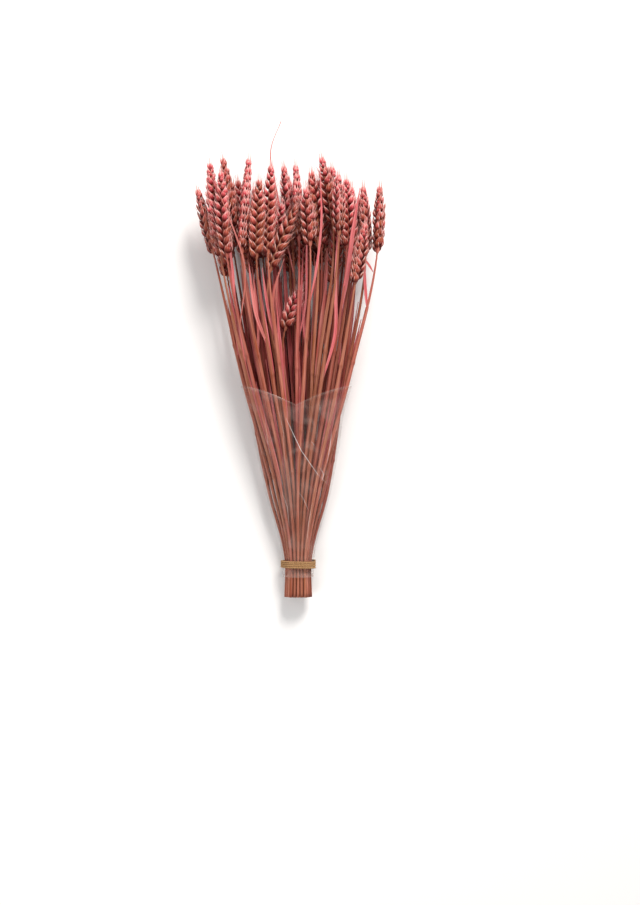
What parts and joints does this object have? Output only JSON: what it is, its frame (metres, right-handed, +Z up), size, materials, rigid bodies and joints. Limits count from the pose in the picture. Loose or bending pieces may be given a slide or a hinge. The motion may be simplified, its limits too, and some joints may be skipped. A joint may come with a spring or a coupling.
{
  "type": "bunch of dried wheat ears",
  "caption": "Bunch of dyed dried wheat: straw stalks with their ears and leaves, tied and held in a clear film sleeve, lying on its side.",
  "frame": {"origin": "middle of the bunch's box, on the surface that it lies on", "axes": "+Y along the bunch towards the ears, +Z up, +X to the right as the bunch is seen from above"},
  "size_m": [0.2166, 0.5432, 0.0896],
  "materials": {
    "dyed_straw": "dry straw dyed dusty pink, matte, with tan showing through low on the stems",
    "clear_film": "clear thin film, glossy, creased",
    "twine": "natural twisted twine, matte"
  },
  "bodies": {
    "root": {"stalk_01": "dyed_straw", "stalk_02": "dyed_straw", "stalk_03": "dyed_straw", "stalk_04": "dyed_straw", "stalk_05": "dyed_straw", "stalk_06": "dyed_straw", "stalk_07": "dyed_straw", "stalk_08": "dyed_straw", "stalk_09": "dyed_straw", "stalk_10": "dyed_straw", "stalk_11": "dyed_straw", "stalk_12": "dyed_straw", "stalk_13": "dyed_straw", "stalk_14": "dyed_straw", "stalk_15": "dyed_straw", "stalk_16": "dyed_straw", "stalk_17": "dyed_straw", "stalk_18": "dyed_straw", "stalk_19": "dyed_straw", "stalk_20": "dyed_straw", "stalk_21": "dyed_straw", "stalk_22": "dyed_straw", "stalk_23": "dyed_straw", "stalk_24": "dyed_straw", "stalk_25": "dyed_straw", "stalk_26": "dyed_straw", "stalk_27": "dyed_straw", "stalk_28": "dyed_straw", "stalk_29": "dyed_straw", "stalk_30": "dyed_straw", "stalk_31": "dyed_straw", "stalk_32": "dyed_straw", "stalk_33": "dyed_straw", "stalk_34": "dyed_straw", "stalk_35": "dyed_straw", "stalk_36": "dyed_straw", "stalk_37": "dyed_straw", "stalk_38": "dyed_straw", "stalk_39": "dyed_straw", "stalk_40": "dyed_straw", "stalk_41": "dyed_straw", "stalk_42": "dyed_straw", "stalk_43": "dyed_straw", "stalk_44": "dyed_straw", "sleeve": "clear_film", "tie": "twine"}
  },
  "joints": []
}
